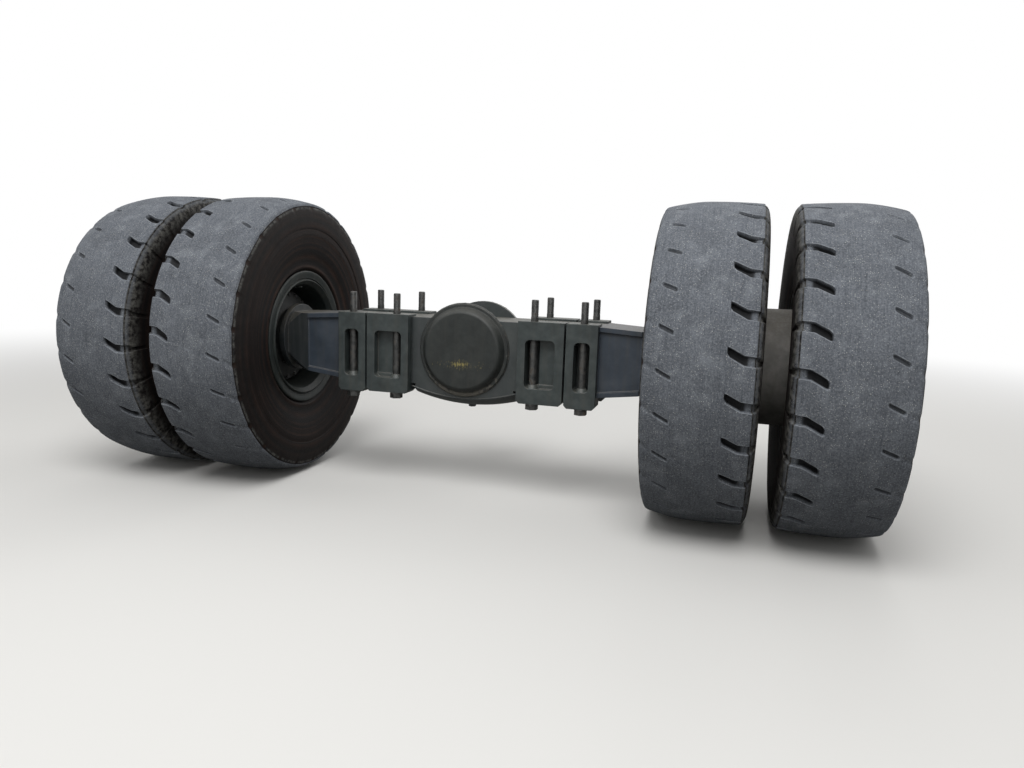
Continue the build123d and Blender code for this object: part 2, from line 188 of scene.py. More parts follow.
def worn_tyre_rubber():
    """Vulcanised carbon black rubber, moulded. The tread is ground matt and grey by wear and dust
    and is full of pale grit; grooves and walls keep the darker moulded skin, with some brown dust.
    The attribute unworn says how much of that skin is left. It also paints a dark line of shade
    along the channels' walls, and below 0 it paints a highlight on the lips of the notches and
    slots. dusted, above 0 on the walls, says how much dust stays on it, and lays dust on the free
    shoulder's lip as a painted highlight."""
    tyre = bpy.context.scene.axle_tyres
    material, tree, place = start_material("worn carbon black rubber")
    centred = add(tree, "Mapping", {"Vector": place, "Location": (0, 0, -AXLE_Z)})
    unworn_and_painted_light = add(tree, "Attribute", output="Fac", attribute_name="unworn_and_painted_light")
    sheltered_dust_and_lip_highlight = add(tree, "Attribute", output="Fac", attribute_name="dust_and_lip_highlight")

    # Broad tone 160 mm wide, grain of 7 mm, drifts of grit of 70 mm, torn patches of dust of 26 mm
    patches, grain, drifts, torn = (
        add(tree, "TexNoise", {
            "Vector": centred, "Scale": per(apart), "Detail": detail, "Roughness": roughness})
        for apart, detail, roughness in ((160, 6, 0.62), (7, 3, 0.7), (70, 3, 0.5), (26, 5, 0.7)))
    # Scuffs that run round with the wheel
    run_round = add(tree, "Mapping", {"Vector": centred, "Scale": (per(6), 8, 8)})
    scuffs = add(tree, "TexNoise", {"Vector": run_round, "Scale": 1, "Detail": 4})

    # Grit of 2 to 3 mm is pressed into the tread in drifts. Each grain is drawn a little coarse, so
    # that it shows.
    grit = add(tree, "TexVoronoi", {"Vector": centred, "Scale": per(7)}, "Distance")
    pale = add(tree, "MapRange", {"Value": grit, **levels(0.3, 0.12)})
    chosen = add(tree, "SeparateColor", {"Color": grit.node.outputs["Color"]})
    chosen = add(tree, "Math", {0: drifts, 1: 2, 2: chosen}, operation="MULTIPLY_ADD")
    some = add(tree, "MapRange", {"Value": chosen, **levels(1.5, 1.85)})
    specks = add(tree, "Math", {0: pale, 1: some}, operation="MULTIPLY")
    pits = add(tree, "TexVoronoi", {"Vector": centred, "Scale": per(19)}, "Distance")
    pit = add(tree, "MapRange", {"Value": pits, **levels(0.17, 0.06, 0.4)})

    ground = coats(tree, shade(tyre.tread_colour, 0.84), [
        (shade(tyre.tread_colour, 1.17), patches, 0.32, 0.68),
        (srgb("#484c53"), scuffs, 0.45, 0.7, 0.5),
        (srgb("#969ba2"), grain, 0.5, 0.7, 0.52),
        (srgb("#3d4147"), grain, 0.49, 0.3, 0.52),
        # Where the grit is thickest the rubber is scuffed pale too
        (srgb("#868b91"), drifts, 0.52, 0.72, 0.4),
        (srgb("#bdbdba"), specks),
        (srgb("#232427"), pit),
        # The lips of the notches and slots are painted pale: a painted highlight
        (srgb("#a3a8ae"), unworn_and_painted_light, -0.1, -0.6, 0.55),
    ])

    # The bare walls are browned in uneven rings about 30 mm apart, and dust lies over that
    share = add(tree, "MapRange", {"Value": sheltered_dust_and_lip_highlight, "From Min": 0.06})
    bare = add(tree, "MapRange", {"Value": share, **levels(0.3, 0)})
    browned = add(tree, "MapRange", {
        "Value": patches, "From Min": 0.35, "From Max": 0.65, "To Min": 0.15, "To Max": 0.8})
    browned = add(tree, "Math", {0: browned, 1: bare}, operation="MULTIPLY")
    flat = add(tree, "VectorMath", {0: centred, 1: (0, 1, 1)}, operation="MULTIPLY")
    radius = add(tree, "VectorMath", {0: flat}, operation="LENGTH")
    rings = add(tree, "TexNoise", {"W": radius, "Scale": per(30), "Detail": 3},
                noise_dimensions="1D")
    mottled = add(tree, "MapRange", {"Value": torn, **levels(0.4, 0.62)})
    dust_and_lip_highlight = add(tree, "Math", {0: mottled, 1: share}, operation="MULTIPLY")
    skin = coats(tree, tyre.wall_colour, [
        (srgb("#3a2a23"), rings, 0.42, 0.66, browned),
        # Dust, which on the free shoulder's lip stands in for a painted highlight
        (tyre.dust_colour, dust_and_lip_highlight),
        (tyre.groove_colour, sheltered_dust_and_lip_highlight, 0.06, 0.01),
    ])
    ragged = add(tree, "Math", {0: grain, 1: 0.5, 2: unworn_and_painted_light}, operation="MULTIPLY_ADD")
    left = add(tree, "MapRange", {"Value": ragged, **levels(0.45, 0.95)},
               interpolation_type="SMOOTHSTEP")

    height = add(tree, "Math", {0: specks, 1: 0.5, 2: grain}, operation="MULTIPLY_ADD")
    height = add(tree, "Math", {0: height, 1: pit}, operation="SUBTRACT")
    return end_material(material, {
        "Base Color": coats(tree, ground, [(skin, left)]),
        "Roughness": add(tree, "MapRange", {"Value": left, "To Min": 0.9, "To Max": 0.65}),
        "Normal": add(tree, "Bump", {"Height": height, "Strength": 0.6, "Distance": 0.0025}),
        "IOR": 1.52, "Specular IOR Level": 0.16,
    })


def painted_casting(name, paint, dust, gloss, chips, patches_mm, middle=None, dusty=1.0,
                    marks=None):
    """Alkyd paint over cast or plate steel. It dries satin with a faint orange peel, chips to brown
    primer on the edges, and gathers dust where it faces up and in its corners. middle is the older
    paint between the beam's arms, and marks is the middle of a patch of scuffs."""
    material, tree, place = start_material(name)
    centred = add(tree, "Mapping", {"Vector": place, "Location": (0, 0, -AXLE_Z)})
    # Streaks that rain and wash water leave, 25 mm apart
    run_down = add(tree, "Mapping", {"Vector": centred, "Scale": (per(25), per(25), per(400))})
    # The others: broad patches, dirt of 12 mm, spots that chip 22 mm apart, and orange peel,
    # drawn coarse at 6 mm
    streaks, broad, fine, spots, peel = (
        add(tree, "TexNoise", {
            "Vector": vector, "Scale": scale, "Detail": detail, "Roughness": roughness})
        for vector, scale, detail, roughness in (
            (run_down, 1, 3, 0.5), (centred, per(patches_mm), 5, 0.6), (centred, per(12), 4, 0.65),
            (centred, per(22), 8, 0.72), (centred, per(6), 3, 0.5)))

    tone = add(tree, "MapRange", {"Value": broad, **levels(0.33, 0.67)})
    colour = coats(tree, shade(paint, 0.72), [(shade(paint, 1.28), tone)])
    if middle:
        across = add(tree, "SeparateXYZ", {0: centred}, "X")
        across = add(tree, "Math", {0: across}, operation="ABSOLUTE")
        older = coats(tree, shade(middle, 0.76), [(shade(middle, 1.24), tone)])
        colour = coats(tree, colour, [
            (older, across, 0.72, 0.7),
            # A painted shade darkens the beam's ends
            (shade(middle, 0.42), across, 0.938, 0.944, 0.9),
        ])
    washed = tuple(c * 0.6 + d * 0.25 for c, d in zip(paint, dust))

    # Dust on what faces up, and grime in the corners
    normal = add(tree, "NewGeometry", output="Normal")
    facing = add(tree, "SeparateXYZ", {0: normal}, "Z")
    upward = add(tree, "MapRange", {"Value": facing, **levels(0.1, 0.9, 0.6 * dusty)})
    corner = add(tree, "AmbientOcclusion", {"Distance": 0.03}, "AO", samples=6, only_local=True)
    corners = add(tree, "MapRange", {"Value": corner, **levels(0.85, 0.35, 0.3 * dusty)})
    settled = add(tree, "Math", {0: upward, 1: corners}, operation="MAXIMUM")
    broken = add(tree, "MapRange", {"Value": fine, **levels(0.3, 0.62)})
    thin = add(tree, "MapRange", {"Value": broad, **levels(0.5, 0.8, 0.14 * dusty)})
    settled = add(tree, "Math", {0: settled, 1: broken, 2: thin}, operation="MULTIPLY_ADD")

    # Chips of 3 to 10 mm, most of them along the edges
    soft = add(tree, "Bevel", {"Radius": 0.004}, samples=4)
    turned_away = add(tree, "VectorMath", {0: soft, 1: normal}, operation="DOT_PRODUCT")
    edge = add(tree, "MapRange", {"Value": turned_away, **levels(0.97, 0.8, 0.3)})
    reach = add(tree, "Math", {0: spots, 1: edge}, operation="ADD")
    chip = add(tree, "MapRange", {"Value": reach, **levels(0.8 - chips, 0.84 - chips)})
    primer = coats(tree, srgb("#4a3a2e"), [(srgb("#77706a"), broken)])
    colour = coats(tree, colour, [
        (washed, streaks, 0.47, 0.72, 0.45),
        (dust, settled),
        # Edges turned lighter than the paint: a painted highlight
        (shade(paint, 2.6, 0.01), turned_away, 0.99, 0.85, 0.3),
        (primer, chip),
    ])

    if marks:
        # Scuffs of old yellow paint 7 mm wide and 22 mm tall, close together in a ragged patch of
        # 100 by 60 mm, and a few more at its level, up to 150 mm to the sides
        near = add(tree, "Mapping", {
            "Vector": centred, "Location": marks, "Scale": (0.12, 1, 0.03)}, vector_type="TEXTURE")
        near = add(tree, "VectorMath", {0: near}, operation="LENGTH")
        near = add(tree, "Math", {0: broad, 1: 2.4, 2: near}, operation="MULTIPLY_ADD")
        near = add(tree, "MapRange", {"Value": near, **levels(2.75, 1.1, 0.29)})
        upright = add(tree, "Mapping", {"Vector": centred, "Scale": (per(7), per(7), per(22))})
        rubs = add(tree, "TexNoise", {"Vector": upright, "Scale": 1, "Detail": 5, "Roughness": 0.7})
        rubs = add(tree, "Math", {0: rubs, 1: near}, operation="ADD")
        # Tan dirt in the groove round the cover, most of it below
        flat = add(tree, "VectorMath", {0: centred, 1: (1, 0, 1)}, operation="MULTIPLY")
        radius = add(tree, "VectorMath", {0: flat}, operation="LENGTH")
        groove = add(tree, "MapRange", {"Value": radius, **levels(0.21, 0.23)})
        below = add(tree, "SeparateXYZ", {0: centred}, "Z")
        below = add(tree, "MapRange", {"Value": below, **levels(-0.08, -0.24, 0.26)})
        held = add(tree, "Math", {0: groove, 1: below, 2: spots}, operation="MULTIPLY_ADD")
        held = add(tree, "MapRange", {"Value": held, **levels(0.62, 0.74, 0.7)})
        held = add(tree, "Math", {0: held, 1: groove}, operation="MULTIPLY")
        colour = coats(tree, colour, [
            (srgb("#9a8e58"), rubs, 0.69, 0.8, 0.8),
            (srgb("#77736a"), held),
        ])

    height = add(tree, "Math", {0: chip, 1: -0.6, 2: peel}, operation="MULTIPLY_ADD")
    return end_material(material, {
        "Base Color": colour,
        "Roughness": add(tree, "Math", {0: settled, 1: 0.4, 2: gloss}, operation="MULTIPLY_ADD"),
        "Normal": add(tree, "Bump", {
            "Height": height, "Strength": 0.25, "Distance": 0.001, "Normal": soft}),
        "IOR": 1.5,
    })


def plain_steel(name, light, dark, rust, share, gloss, patches_mm=30):
    """Forged or machined steel without paint: a dull metal sheen, oil film and a bloom of rust."""
    material, tree, place = start_material(name)
    broad = add(tree, "TexNoise", {
        "Vector": place, "Scale": per(patches_mm), "Detail": 6, "Roughness": 0.6})
    fine = add(tree, "TexNoise", {"Vector": place, "Scale": per(4), "Detail": 4})
    spread = add(tree, "Math", {0: fine, 1: 0.3, 2: broad}, operation="MULTIPLY_ADD")
    rusty = add(tree, "MapRange", {"Value": spread, **levels(0.95 - share, 1.1 - share)})
    return end_material(material, {
        "Base Color": coats(tree, srgb(dark), [
            (srgb(light), broad, 0.35, 0.65), (srgb(rust), rusty)]),
        "Metallic": add(tree, "MapRange", {"Value": rusty, "To Min": 0.75, "To Max": 0.05}),
        "Roughness": add(tree, "MapRange", {"Value": rusty, "To Min": gloss, "To Max": 0.85}),
        "Normal": add(tree, "Bump", {"Height": fine, "Strength": 0.3, "Distance": 0.0006}),
    })


def dress(nodes, material):
    """Gives CAD nodes whose shape is right their finish."""
    for name in nodes:
        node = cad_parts[name]
        node.data.materials.clear()
        node.data.materials.append(material)


def finish_piece(kind, bm, body, material, node=None, smooth=35):
    """Turns a bmesh into a piece that rides on a body and stands for a CAD node, if one is given.
    Edges sharper than smooth degrees stay sharp."""
    name = f"{kind}_{node}" if node else kind
    mesh = bpy.data.meshes.new(name)
    bm.to_mesh(mesh)
    bm.free()
    mesh.materials.append(material)
    mesh.shade_smooth()
    mesh.set_sharp_from_angle(angle=radians(smooth))
    piece = bpy.data.objects.new(name, mesh)
    bpy.context.scene.collection.objects.link(piece)
    # Keeps flat faces flat beside their rounded edges
    even = piece.modifiers.new("even shading", "WEIGHTED_NORMAL")
    even.keep_sharp = True
    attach(piece, body)
    if node:
        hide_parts(node)


# Shaping tools

def shift(x, y, z):
    """A move in millimetres."""
    return Matrix.Translation((x * MM, y * MM, z * MM))


def about(axis, angle):
    """A turn about an axis."""
    return Matrix.Rotation(angle, 4, axis)


def join(bm, part, matrix=None):
    """Puts a finished part into a larger mesh."""
    if matrix is not None:
        part.transform(matrix)
    mesh = bpy.data.meshes.new("part")
    part.to_mesh(mesh)
    part.free()
    bm.from_mesh(mesh)
    bpy.data.meshes.remove(mesh)


def bevel(part, geom, radius, segments, affect="EDGES", clamp=False):
    """Rounds edges, or the corners of a flat outline, by a radius in millimetres."""
    bmesh.ops.bevel(part, geom=geom, offset=radius * MM, offset_type="OFFSET", affect=affect,
                    segments=segments, profile=0.5, material=-1, clamp_overlap=clamp)


def turned(outline, rounded=(), steps=96, closed=True):
    """Turns an outline of (along, radius) in millimetres round X. rounded has (corner, radius)."""
    part = bmesh.new()
    verts = [part.verts.new((along * MM, 0, radius * MM)) for along, radius in outline]
    for pair in zip(verts, verts[1:] + verts[:1] if closed else verts[1:]):
        part.edges.new(pair)
    for corner, radius in rounded:
        bevel(part, [verts[corner]], radius, 3, affect="VERTICES")
    bmesh.ops.spin(part, geom=part.verts[:] + part.edges[:], cent=(0, 0, 0), axis=(1, 0, 0),
                   dvec=(0, 0, 0), angle=2 * pi, steps=steps, use_merge=True)
    bmesh.ops.remove_doubles(part, verts=part.verts[:], dist=0.00001)
    bmesh.ops.recalc_face_normals(part, faces=part.faces[:])
    return part


def slab(bm, low, high, edge):
    """A plate between two corners in millimetres, with its edges rounded."""
    part = bmesh.new()
    size = [(b - a) * MM for a, b in zip(low, high)]
    middle = [(a + b) / 2 for a, b in zip(low, high)]
    bmesh.ops.create_cube(part, size=1, matrix=shift(*middle) @ Matrix.Diagonal((*size, 1)))
    bevel(part, part.edges[:], edge, 2)
    join(bm, part)


def bolt(bm, place, flats, height, washer=None, stud=None):
    """A hexagon head that stands up local Z, on a washer of (radius, thickness) if it has one, and
    with a stud end of (radius, length) through it if it is a nut."""
    part = bmesh.new()
    lift = washer[1] if washer else 0
    # radius, height, base, sides and chamfer
    discs = [(flats / sqrt(3), height, lift, 6, 1.5)]
    if washer:
        discs.append((*washer, 0, 28, 1))
    if stud:
        discs.append((*stud, lift + height, 16, 1.5))
    for radius, tall, base, sides, chamfer in discs:
        disc = bmesh.ops.create_cone(
            part, cap_ends=True, segments=sides, radius1=radius * MM, radius2=radius * MM,
            depth=tall * MM, matrix=shift(0, 0, base + tall / 2))
        almost_top = (base + 0.9 * tall) * MM
        upper = {vert for vert in disc["verts"] if vert.co.z > almost_top}
        bevel(part, [edge for edge in part.edges if upper.issuperset(edge.verts)], chamfer, 1)
    join(bm, part, place)


def ring_places(count, radius, along, start=0.0, facing=1):
    """Places round X at a radius in millimetres, with local Z along X or against it."""
    for i in range(count):
        round_x = about("X", start + 2 * pi * i / count)
        yield round_x @ shift(along, 0, radius) @ about("Y", facing * pi / 2)


def weld_bead(bm, points, radius, seed):
    """A weld run along a line of points in millimetres, with its ripples about 9 mm apart."""
    route = [Vector(point) * MM for point in points]
    reached = [0.0]
    for a, b in zip(route, route[1:]):
        reached.append(reached[-1] + (b - a).length)
    half_ripple = 0.0045
    part = bmesh.new()
    bmesh.ops.create_grid(part, x_segments=round(reached[-1] / half_ripple), y_segments=6, size=0.5)
    for vert in part.verts:
        travelled = (vert.co.x + 0.5) * reached[-1]
        leg = max(i for i in range(len(route) - 1) if i == 0 or reached[i] <= travelled)
        along = (route[leg + 1] - route[leg]).normalized()
        centre = route[leg] + along * (travelled - reached[leg])
        side = along.orthogonal().normalized()
        turn = 2 * pi * (vert.co.y + 0.5)
        uneven = noise.noise(Vector((travelled * 45, seed, 0)))
        swell = 1 + 0.2 * sin(travelled * 700) + 0.25 * uneven
        outward = side * cos(turn) + along.cross(side) * sin(turn)
        vert.co = centre + outward * radius * MM * swell
    bmesh.ops.remove_doubles(part, verts=part.verts[:], dist=0.00001)
    bmesh.ops.holes_fill(part, edges=part.edges[:], sides=6)
    bmesh.ops.recalc_face_normals(part, faces=part.faces[:])
    join(bm, part)


def softened(node, radius, plain_at=()):
    """A copy of a CAD node's mesh with its sharp edges rounded, but not those within 24 mm of the
    upright lines of plain_at, each (x, y) in millimetres."""
    bm = bmesh.new()
    bm.from_mesh(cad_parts[node].data)
    bmesh.ops.remove_doubles(bm, verts=bm.verts[:], dist=0.00002)
    bmesh.ops.dissolve_limit(bm, angle_limit=radians(0.6), verts=bm.verts[:], edges=bm.edges[:])

    def is_plain(vert):
        return any((vert.co.x / MM - x) ** 2 + (vert.co.y / MM - y) ** 2 < 24 ** 2
                   for x, y in plain_at)

    sharp = [e for e in bm.edges if len(e.link_faces) == 2 and e.calc_face_angle() > radians(28)
             and not all(is_plain(vert) for vert in e.verts)]
    bevel(bm, sharp, radius, 2, clamp=True)
    return bm


# From the wheel axis to the seat frame
LOWERED = Matrix.Translation((0, 0, AXLE_Z))
SIDES = (("right", 1), ("left", -1))


def at_side(sign, along=0.0, faces_right=True):
    """Where a shape about X stands, at a distance across in millimetres and facing +X or -X."""
    return LOWERED @ shift(sign * along, 0, 0) @ about("Z", 0 if faces_right else pi)


# Tyres

# The tyre's outer skin as (across, radius) in millimetres, from the bead beside the twin to where
# the tread starts. The deep notches are on this shoulder.
SKIN = [
    (-176, 318.2), (-182, 340), (-189, 366), (-196, 384), (-203, 392), (-212, 398), (-214, 408),
    (-211, 418), (-215, 436), (-225, 470), (-235, 515), (-243, 560), (-248, 605), (-249.4, 650),
    (-249, 685), (-247.6, 710), (-245.4, 731), (-242, 749), (-237, 763), (-231, 772.5),
    (-225.2, 778.6), (-222.4, 777.4), (-219.8, 784.6),
]
# Radii where the side wall ends and at the bottom of the crease beside the tread
WALL_END = 776
CREASE = 777.4
# The last row that no notch reaches
LAST_WHOLE_ROW = 8
# From the end of the tread to the bead on the free side
FREE_SHOULDER = [
    (226, 766.5), (232, 764), (236, 759.5), (239, 754), (240.2, 749.5), (238.2, 747), (239.4, 744),
    (243.4, 742.5), (244.6, 736), (246.4, 728), (248, 715), (249.2, 690), (249.4, 650),
    (248.6, 625), (245.4, 622), (247, 600), (245.6, 582), (243.4, 579), (241, 550), (235, 515),
    (226, 478), (222.4, 474), (215, 436), (211, 418), (214, 408), (212, 398), (203, 392),
    (196, 384), (189, 366), (182, 340), (176, 318.2),
]
# The face that lies on the rim
BASE = [(60, 318.2), (-60, 318.2)]
# How far across the tread's rows lie, closer together where there are notches
TREAD_ROWS = [
    -217, -209, -201, -193, -186, -180, -174, -168, -162, -156, -150, -144, -138, -132, -126, -120,
    -115, -111, -108, -105, -102, -98, -93, -86, -75, -55, -30, 0, 30, 60, 85, 101, 108, 112, 116,
    121, 128, 136, 144, 152, 160, 168, 174, 179, 183, 187, 192, 198, 205, 212, 219,
]
# Columns across one pitch, as millimetres round from the line of the notch
HALF_PITCH = 96.2
COLUMNS = [
    -HALF_PITCH, -86, -76, -66, -56, -48, -41, -35, -30, -26, -22.5, -19.5, -17, -14.5, -12, -9,
    -6, -3, 0, 3, 6, 9, 12, 14.5, 17, 19.5, 22.5, 26, 31, 38, 47, 58, 70, 83, HALF_PITCH,
]
# The middles of a short slot's round ends, as millimetres across
SLOT_ENDS = (126, 173)


def tread_radius(across):
    """The worn crown: highest in its middle, lower at the shoulders, most worn on the free side."""
    return 795.3 - 9.0 * (abs(across) / 235) ** 2.4 - 21.0 * (max(0.0, across - 40) / 190) ** 1.5


def notch_line(across):
    """Degrees that the line through a notch has gone round at this place across the tyre: level
    near the shoulder, then down to its tip, and on through the slot to the free shoulder."""
    if across < -172:
        return 2.9 + 0.5 * min(1.0, (-172 - across) / 78)
    if across < -80:
        return 2.9 * min(1.0, (-98 - across) / 74)
    if across < 115:
        return -0.7 - 3.4 * (across + 80) / 195
    return -4.1 - 2.4 * min(across - 115, 135) / 68


def step(value):
    """0 below 0, 1 above 1, and smooth between."""
    value = min(1.0, max(0.0, value))
    return value * value * (3 - 2 * value)


def deep_notch(across, beside, depth, half):
    """Depth of the deep notch at a place across and beside its line, and how much skin is left in
    it: a dark pit with a narrow tip, then past its kink a shallower channel, worn light on its
    floor, with a dark line of painted shade along its walls."""
    channel = step((-150 - across) / 62)
    tip = step((across + 117) / 18)
    width = half * (1 + 0.1 * channel - 0.45 * tip) + 2.2
    walls = step((width - abs(beside + 0.15 * half * tip)) / 5)
    end = step((-102 - across) / 6)
    worn_light = step((-166 - across) / 38)
    # The last term of the second value is painted shade: a dark line along the channel's walls
    return (depth * (1 - 0.62 * channel) * walls * end,
            end * (walls * (1 - 0.85 * worn_light) + 1.2 * worn_light * walls * (1 - walls)))


def build_tyre(settings):
    """One tyre about X at its own middle: a sector with one notch, repeated all the way round."""
    tread = [(across, tread_radius(across)) for across in TREAD_ROWS]
    rows = SKIN + tread + FREE_SHOULDER + BASE + SKIN[:1]
    first_tread = len(SKIN)
    last_tread = first_tread + len(tread) - 1
    # The rows turn with the notch's line, and over the base they turn back to where they began
    lines = [notch_line(across) for across, _ in rows]
    lines[-3:] = [lines[-4] * 0.65, lines[-4] * 0.3, lines[0]]

    # Inward direction of the skin at each row, which the notches are cut along
    inward = []
    for j in range(len(rows)):
        a, b = rows[max(j - 1, 0)], rows[min(j + 1, len(rows) - 1)]
        along = Vector((b[0] - a[0], b[1] - a[1])).normalized()
        inward.append(Vector((along.y, -along.x)))

    bm = bmesh.new()
    unworn_and_painted_light = bm.verts.layers.float.new("unworn_and_painted_light")
    dust_and_lip_highlight = bm.verts.layers.float.new("dust_and_lip_highlight")
    last_column, last_row = len(COLUMNS) - 1, len(rows) - 1
    bmesh.ops.create_grid(bm, x_segments=last_column, y_segments=last_row, size=0.5)
    half = settings.notch_half_width / MM
    for vert in bm.verts:
        beside = COLUMNS[round((vert.co.x + 0.5) * last_column)]
        j = round((vert.co.y + 0.5) * last_row)
        across, radius = rows[j]
        sunk = skin = 0.0
        if LAST_WHOLE_ROW < j <= last_tread:
            on_wall = 0.0 if j >= first_tread else step((WALL_END - radius) / 30)
            fade = (1.0 - 0.2 * on_wall) * step((radius - 655) / 50)
            narrowed = beside / (1 - 0.45 * on_wall)
            sunk, skin = deep_notch(across, narrowed, settings.notch_depth / MM, half)
            sunk *= fade
            skin *= fade
        if across > 0 and j <= last_tread:
            # The short slot that wear has left, with a painted highlight round its rim
            beyond = max(0.0, SLOT_ENDS[0] - across, across - SLOT_ENDS[1])
            from_slot = sqrt(beside ** 2 + beyond ** 2)
            sunk = settings.slot_depth / MM * step((11.6 - from_slot) / 5)
            skin = 0.5 * step((sunk - 1) / 8)
            if not sunk and from_slot < 17:
                skin = -0.3
        if j > last_tread - 3:
            # A shallow scallop where the slot once ran out over the free shoulder
            sunk += 4.5 * step((radius - 705) / 40) * exp(-(beside / 17) ** 2)

        if j < first_tread:
            # The moulded skin is left below the shoulder, and dust stays on it
            on_wall = step((WALL_END - radius) / 40)
            skin = 1.0 if radius == CREASE else max(skin, 0.46 + 0.54 * on_wall)
            vert[dust_and_lip_highlight] = 0.06 + 0.9 * step((radius - 680) / 80)
        elif j > last_tread:
            # The free shoulder's lip is painted light with dust between its scallops: a painted
            # highlight
            highlighted_lip = 736 <= radius <= 743 and abs(beside) > 16
            skin = 0.62 if highlighted_lip else step((752 - radius) / 6)
            vert[dust_and_lip_highlight] = 1.0 if highlighted_lip else 0.06 + 0.05 * step((radius - 600) / 120)
        elif not sunk and -219 < across < -105 and 19 < abs(beside) < 25:
            # The lips of the notches are painted lighter than the tread: a painted highlight
            skin = -0.6
        vert[unworn_and_painted_light] = skin
        cut = inward[j] * sunk
        turn = radians(lines[j]) + beside / HALF_PITCH * PITCH / 2
        reach = (radius + cut.y) * MM
        vert.co = ((across + cut.x) * MM, -reach * cos(turn), reach * sin(turn))
    bmesh.ops.spin(bm, geom=bm.verts[:] + bm.edges[:] + bm.faces[:], cent=(0, 0, 0), axis=(1, 0, 0),
                   dvec=(0, 0, 0), angle=2 * pi - PITCH, steps=NOTCHES - 1, use_duplicate=True)
    bmesh.ops.remove_doubles(bm, verts=bm.verts[:], dist=0.00002)
    bmesh.ops.recalc_face_normals(bm, faces=bm.faces[:])
    return bm


def wear_unevenly(bm, settings, seed):
    """Each tyre is worn a little differently: low places and torn edges, always inwards. The wear
    begins at a radius of 0.70 m and is full 0.06 m further out."""
    begins, over = 0.70, 0.06
    for vert in bm.verts:
        radius = sqrt(vert.co.y ** 2 + vert.co.z ** 2)
        if radius < begins:
            continue
        worn = step((radius - begins) / over)
        broad = 0.5 + 0.5 * noise.noise(vert.co * 6.0 + Vector((seed, 0, 0)))
        torn = max(0.0, noise.noise(vert.co * 38.0 + Vector((0, seed, 0))) - 0.25)
        low = settings.wear * worn * (0.6 * broad + 2.2 * torn)
        factor = (radius - low) / radius
        vert.co.y *= factor
        vert.co.z *= factor


# How far across the wheels' middles lie
INNER_WHEEL, OUTER_WHEEL = 1249, 1850


class DRIVE_AXLE_OT_tyres(bpy.types.Operator):
    """Models the four worn tyres, with their notches where the photographed ones lie"""

    bl_idname = "drive_axle.tyres"
    bl_label = "Tyres"

    def execute(self, context):
        settings = context.scene.axle_tyres
        rubber = worn_tyre_rubber()
        # side, wheel, millimetres across, whether the deep notches face +X, and degrees turned
        places = [
            ("right", "inner", INNER_WHEEL, True, 10.8),
            ("right", "outer", OUTER_WHEEL, False, 2.2),
            ("left", "inner", -INNER_WHEEL, False, 2.2),
            ("left", "outer", -OUTER_WHEEL, True, 0.5),
        ]
        for number, (side, wheel, across, faces_right, degrees) in enumerate(places):
            bm = build_tyre(settings)
            wear_unevenly(bm, settings, 3.7 * number)
            facing = about("Z", pi if faces_right else 0)
            bm.transform(LOWERED @ shift(across, 0, 0) @ about("X", -radians(degrees)) @ facing)
            finish_piece("worn", bm, f"{side}_wheels", rubber,
                         f"{side}_{wheel}_tyre", smooth=50)
        return {"FINISHED"}


# Rims, hubs and wheel ends

# The rim's section as (across, radius) in millimetres, with its mouth and lock ring at +X
RIM = [
    (-6, 274.4), (-209, 274.4), (-209, 300), (-203, 304), (-203, 328), (-205, 352), (-211.5, 366),
    (-211.5, 378), (-206, 382.8), (-199, 381), (-192, 366), (-181, 330), (-178, 317.6),
    (178, 317.6), (181, 330), (192, 366), (199, 381), (206, 382.8), (211.5, 378), (211.5, 366),
    (206, 354), (205, 342), (198, 338), (198, 334), (207, 331.5), (211.3, 329), (211.3, 326),
    (186, 304), (36, 304),
]
# How far across the hub's end lies, which carries the planet cover and the cleats
HUB_END = 2040


class DRIVE_AXLE_OT_rims(bpy.types.Operator):
    """Models the rims with their curled flanges, lock rings and valve stems"""

    bl_idname = "drive_axle.rims"
    bl_label = "Rims"

    def execute(self, context):
        paint = context.scene.axle_paint
        # The rim paint is made darker still: a painted shade
        steel = painted_casting("grey green paint on rolled steel", paint.rim_colour,
                                paint.dust_colour, 0.6, 0.03, 70, dusty=0.12)
        for side, sign in SIDES:
            for wheel, along, out in (("inner", INNER_WHEEL, -1), ("outer", OUTER_WHEEL, 1)):
                bm = bmesh.new()
                join(bm, turned(RIM, [(3, 2), (13, 3), (12, 3), (27, 3)], steps=112))
                # The valve stem lies in the mouth, on a small boss
                stem = turned([(0, 0), (0, 9), (12, 9), (14, 6), (40, 6), (41, 4.5), (52, 4.5),
                               (53, 0)], steps=16, closed=False)
                join(bm, stem, about("X", 0.13) @ shift(150, 0, 292))
                bm.transform(at_side(sign, along, sign * out > 0))
                finish_piece("rolled", bm, f"{side}_wheels", steel,
                             f"{side}_{wheel}_rim", smooth=40)
        return {"FINISHED"}


